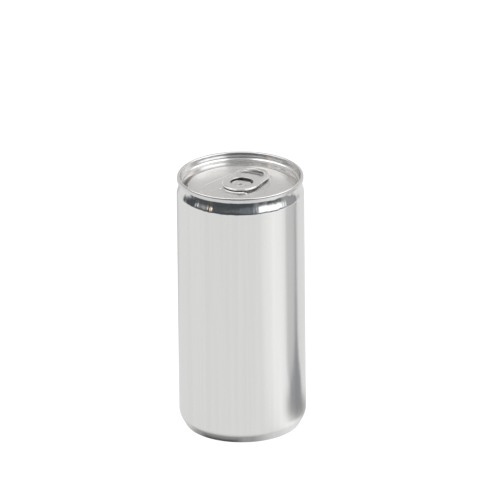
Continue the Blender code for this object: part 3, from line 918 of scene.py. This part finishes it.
PATCHES = (                  # colour, bearings, heights, softness of both, all in degrees
    ((1.7, 1.7, 1.7), -114.0, -28.0, 26.0, 56.0, 8.0, 6.0),          # strip light at the left
    ((0.95, 0.95, 0.95), 96.0, 160.0, 34.0, 56.0, 8.0, 4.0),         # light behind at the right
    ((1.7, 1.7, 1.7), 28.0, 112.0, 18.0, 56.0, 8.0, 6.0),            # soft box at the right
    ((0.46, 0.46, 0.465), -24.0, 22.0, 0.0, 50.0, 8.0, 6.0),         # grey behind the camera
    ((0.055, 0.062, 0.068), -62.0, 30.0, -30.0, 18.2, 7.0, 1.5),     # dark zone, middle
    ((0.055, 0.062, 0.068), -134.0, -55.0, -30.0, 10.5, 7.0, 2.5),   # dark zone, left
    ((0.060, 0.068, 0.073), 30.0, 84.0, -30.0, 13.0, 5.0, 2.0),      # dark zone, right
    ((0.32, 0.32, 0.33), 84.0, 126.0, -30.0, 14.0, 4.0, 3.0))        # its lighter end
SLANTS = (                   # colour, then the edge's start, height and fall, and its two ends
    ((0.13, 0.155, 0.175), 0.0, 13.0, 0.10, -4.0, 40.0),
    ((1.30, 1.33, 1.36), 34.0, 11.2, 0.13, 30.0, 84.0))
POOLS = (                    # colour, bearing, height, and half its width and height
    ((2.90, 2.35, 1.70), -58.5, 12.7, 4.2, 1.35),
    ((2.30, 2.38, 2.45), -83.0, 8.4, 3.6, 1.35))
CAMERA_AIM = 0.055           # height that the camera looks at
CAMERA_DISTANCE = 5.0
CAMERA_DROP = 0.39937097     # downward angle to the can's middle, radians
CAMERA_PITCH = 0.39444660
CAMERA_YAW = -0.0000829
CAMERA_ROLL = -0.01043198
LENS = 899.2


def shaded(tree, turn, value, low, high, soft):
    """The value where the turn lies between two angles, falling softly to 0 outside them."""
    rise = eased(tree, turn, low - soft, low + soft, 0.0, 1.0)
    fall = eased(tree, turn, high - soft, high + soft, 1.0, 0.0)
    return times(tree, times(tree, rise, fall), value)


def bearing_of(tree, across, along):
    """Bearing in degrees from the camera's side (-Y), positive to the right (+X)."""
    back = times(tree, along, -1.0)
    turn = combined(tree, 'ARCTAN2', across, back)
    return times(tree, turn, 180.0 / math.pi)


def floor_glow(tree, across, along):
    """How brightly the sheet glows at a place."""
    bearing = bearing_of(tree, across, along)
    away = level_length(tree, across, along)
    # Brighter towards the soft box, a touch dimmer behind the can at the left
    light = combined(tree, 'ADD', shaded(tree, bearing, *BOX_GLOW), FLOOR_GLOW)
    light = combined(tree, 'SUBTRACT', light, shaded(tree, bearing, *LEFT_DIM))
    start, end, left_over = FLOOR_ENDS
    light = times(tree, light, eased(tree, away, start, end, 1.0, left_over))
    # The can's own shade, behind it at the right and close under its foot
    behind = times(tree, shaded(tree, bearing, *BEHIND_DIM),
                   eased(tree, away, *BEHIND_ENDS, 1.0, 0.0))
    light = times(tree, light, combined(tree, 'SUBTRACT', 1.0, behind))
    under = FOOT_LIGHT
    for dim in FOOT_DIMS:
        under = combined(tree, 'SUBTRACT', under, shaded(tree, bearing, *dim))
    near = eased(tree, away, *FOOT_ENDS, 0.0, 1.0)
    light = times(tree, light, combined(tree, 'MAXIMUM', near, under))
    # The shade that the grey stands throw on the sheet
    stand_x, stand_y = STAND_FOOT
    to_stand = level_length(tree, combined(tree, 'SUBTRACT', across, stand_x),
                            combined(tree, 'SUBTRACT', along, stand_y))
    start, end, left_over = STAND_SHADE
    return times(tree, light, eased(tree, to_stand, start, end, left_over, 1.0))


def white_floor():
    """A white sheet that the can stands on: plain white to the eye, shaded for the metal."""
    mesh = bpy.data.meshes.new("studio_floor")
    half = FLOOR_SIZE / 2
    corners = [(-half, -half, 0.0), (half, -half, 0.0), (half, half, 0.0), (-half, half, 0.0)]
    mesh.from_pydata(corners, [], [(0, 1, 2, 3)])
    material, tree, shader = plain_material("floor_white", (0.10, 0.10, 0.10))
    shader.inputs["Roughness"].default_value = 0.9
    shader.inputs["Specular IOR Level"].default_value = 0.0
    shader.inputs["Emission Color"].default_value = (1.0, 1.0, 1.0, 1.0)
    place = tree.nodes.new('ShaderNodeTexCoord').outputs["Object"]
    across, along, _ = parts_of(tree, place)
    seen = tree.nodes.new('ShaderNodeLightPath')
    light = combined(tree, 'MAXIMUM', floor_glow(tree, across, along), seen.outputs["Is Camera Ray"])
    tree.links.new(light, shader.inputs["Emission Strength"])
    mesh.materials.append(material)
    floor = placed("studio_floor", mesh)


def studio_room():
    """Soft light from all round: bright behind and above, a dark zone low on the camera's side."""
    world = bpy.data.worlds.new("studio_room")
    bpy.context.scene.world = world
    world.use_nodes = True
    tree = world.node_tree
    glow = tree.nodes["Background"]
    x, y, z = parts_of(tree, tree.nodes.new('ShaderNodeTexCoord').outputs["Generated"])
    rise = times(tree, combined(tree, 'ARCSINE', z, 0.0), 180.0 / math.pi)
    bearing = bearing_of(tree, x, y)

    def patch(left, right, low, high, soft, soft_rise):
        """A soft-edged window of directions, 1 inside."""
        return shaded(tree, bearing, shaded(tree, rise, 1.0, low, high, soft_rise), left, right, soft)

    def slanted(start, low, fall, left, right):
        """Directions above an edge that falls towards the right, between two bearings."""
        edge = times(tree, combined(tree, 'SUBTRACT', bearing, start), fall)
        above = combined(tree, 'ADD', combined(tree, 'SUBTRACT', rise, low), edge)
        window = patch(left, right, -30.0, 16.0, 5.0, 1.5)
        return times(tree, window, eased(tree, above, -0.9, 0.9, 0.0, 1.0))

    def pool(turn, height, half_turn, half_height):
        """A soft-edged oval of directions, 1 inside."""
        across = combined(tree, 'DIVIDE', combined(tree, 'SUBTRACT', bearing, turn), half_turn)
        along = combined(tree, 'DIVIDE', combined(tree, 'SUBTRACT', rise, height), half_height)
        return eased(tree, squares(tree, across, along), 0.35, 1.3, 1.0, 0.0)

    layers = [(colour, eased(tree, rise, low, high, 0.0, 1.0)) for colour, low, high in CEILINGS]
    layers += [(colour, patch(*window)) for colour, *window in PATCHES]
    layers += [(colour, slanted(*edge)) for colour, *edge in SLANTS]
    layers += [(colour, pool(*oval)) for colour, *oval in POOLS]
    below = None
    for colour, mask in layers:
        mix = tree.nodes.new('ShaderNodeMix')
        mix.data_type = 'RGBA'
        tree.links.new(mask, mix.inputs[0])
        if below is None:
            mix.inputs[6].default_value = (*HORIZON, 1.0)
        else:
            tree.links.new(below, mix.inputs[6])
        mix.inputs[7].default_value = (*colour, 1.0)
        below = mix.outputs[2]
    tree.links.new(below, glow.inputs["Color"])
    glow.inputs["Strength"].default_value = 1.0


def standing_grey(name, outline, place, colour):
    """A grey stand beside the can that only the metal sees."""
    material, _, shader = plain_material(name, (0.02, 0.02, 0.02))
    shader.inputs["Roughness"].default_value = 1.0
    shader.inputs["Specular IOR Level"].default_value = 0.0
    shader.inputs["Emission Color"].default_value = (*colour, 1.0)
    shader.inputs["Emission Strength"].default_value = 1.0
    stand = turned(name, outline, 48, material)
    face_outward(stand)
    stand.data.transform(Matrix.Translation((place[0] * MM, place[1] * MM, 0.0)))
    stand.visible_camera = False
    stand.visible_diffuse = False
    stand.visible_shadow = False


def place_camera():
    """A long lens from the front, looking down at about 23 degrees."""
    lens = bpy.data.cameras.new("product_camera")
    lens.lens = LENS
    lens.sensor_width = 36.0
    lens.clip_end = 50.0
    camera = placed("product_camera", lens)
    ahead = Vector((math.sin(CAMERA_YAW) * math.cos(CAMERA_PITCH),
                    math.cos(CAMERA_YAW) * math.cos(CAMERA_PITCH), -math.sin(CAMERA_PITCH)))
    right = Vector((math.cos(CAMERA_YAW), -math.sin(CAMERA_YAW), 0.0))
    upward = right.cross(ahead)
    side = right * math.cos(CAMERA_ROLL) + upward * math.sin(CAMERA_ROLL)
    upward = upward * math.cos(CAMERA_ROLL) - right * math.sin(CAMERA_ROLL)
    spot = Vector((0.0, -CAMERA_DISTANCE * math.cos(CAMERA_DROP),
                   CAMERA_AIM + CAMERA_DISTANCE * math.sin(CAMERA_DROP)))
    camera.matrix_world = Matrix(((side.x, upward.x, -ahead.x, spot.x),
                                  (side.y, upward.y, -ahead.y, spot.y),
                                  (side.z, upward.z, -ahead.z, spot.z),
                                  (0.0, 0.0, 0.0, 1.0)))
    bpy.context.scene.camera = camera


white_floor()
studio_room()
standing_grey("grey_stand", GREY_STAND, GREY_PLACE, (0.53, 0.53, 0.53))
standing_grey("dark_stand", DARK_STAND, DARK_PLACE, (0.25, 0.255, 0.27))
place_camera()
bpy.context.scene.view_settings.view_transform = 'Standard'
